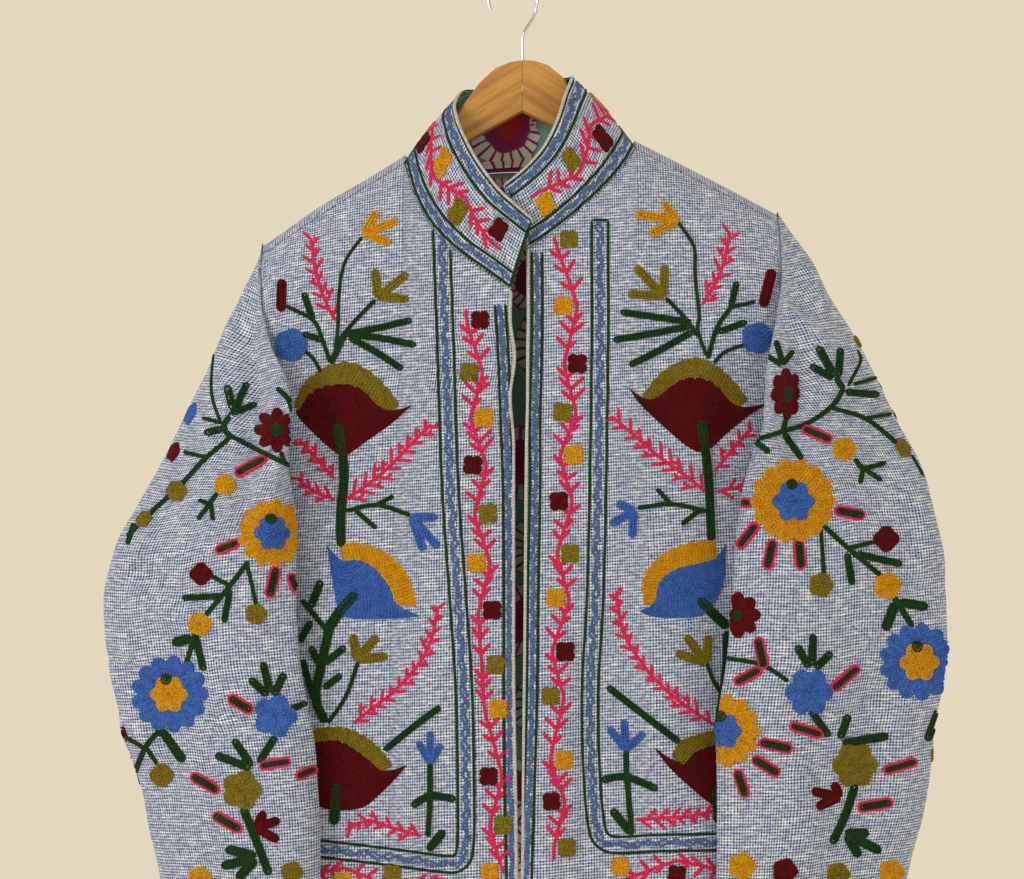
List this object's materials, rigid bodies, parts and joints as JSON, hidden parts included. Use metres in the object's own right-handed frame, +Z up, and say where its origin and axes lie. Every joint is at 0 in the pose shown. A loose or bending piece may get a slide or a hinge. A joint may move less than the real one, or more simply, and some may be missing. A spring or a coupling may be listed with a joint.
{
  "type": "suzani embroidered jacket with a stand collar, on a wooden hanger",
  "caption": "Long-sleeved suzani jacket of pale blue hopsack with wool chain-stitch flowers, a stand collar and open fronts, hanging on a wooden hanger",
  "frame": {"origin": "the inside top of the hanger's hook, where a rod or wall hook holds it", "axes": "+X to the viewer's right, +Y away from the viewer towards the back of the jacket, +Z up; the fronts face -Y"},
  "size_m": [0.7677, 0.143, 0.8788],
  "materials": {
    "cloth": "coarse hopsack weave with wool embroidery",
    "lining": "printed cotton",
    "wood": "clear varnish",
    "wire": "polished"
  },
  "bodies": {
    "root": {"front_left": "cloth", "front_right": "cloth", "back": "cloth", "sleeve_left": "cloth", "sleeve_right": "cloth", "collar": "cloth", "collar_facing": "lining", "lining_back": "lining", "hanger_left": "wood", "hanger_right": "wood", "hanger_hook": "wire"}
  },
  "joints": []
}
